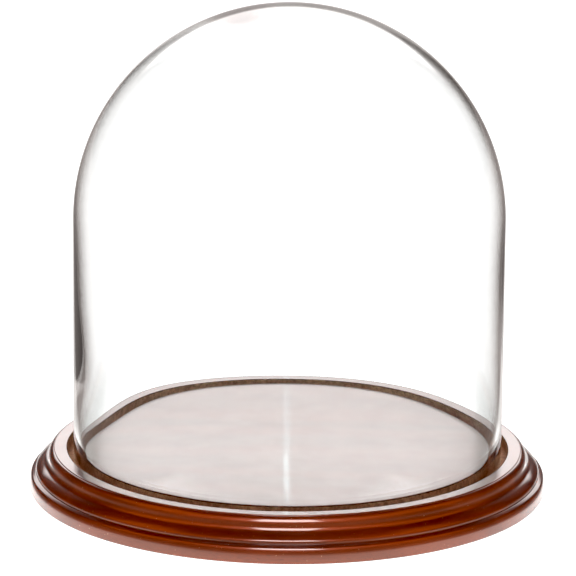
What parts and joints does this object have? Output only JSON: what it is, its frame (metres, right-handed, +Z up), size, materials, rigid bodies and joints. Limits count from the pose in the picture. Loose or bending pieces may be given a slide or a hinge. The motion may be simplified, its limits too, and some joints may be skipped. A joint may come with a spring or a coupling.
{
  "type": "bell jar dome",
  "caption": "Clear glass display dome, straight-sided with a round top, standing loose in the groove of a turned and lacquered round wood base on felt feet.",
  "frame": {"origin": "centre of the underside, on the surface that the felt feet stand on", "axes": "+Z up along the axis of the dome and the turned base; the part is round, so X and Y point any way"},
  "size_m": [0.3066, 0.3066, 0.292],
  "materials": {
    "clear_glass": "clear blown glass, polished",
    "lacquered_wood": "red-brown stain under high-gloss lacquer",
    "felt": "pressed wool felt"
  },
  "bodies": {
    "base": {"wood_base": "lacquered_wood", "felt_foot_1": "felt", "felt_foot_2": "felt", "felt_foot_3": "felt", "felt_foot_4": "felt"},
    "dome": {"glass_dome": "clear_glass"}
  },
  "joints": [
    {"name": "dome_lift", "type": "slide", "parent": "base", "child": "dome", "axis": [0, 0, 1], "range_m": [0, 0.3]}
  ]
}
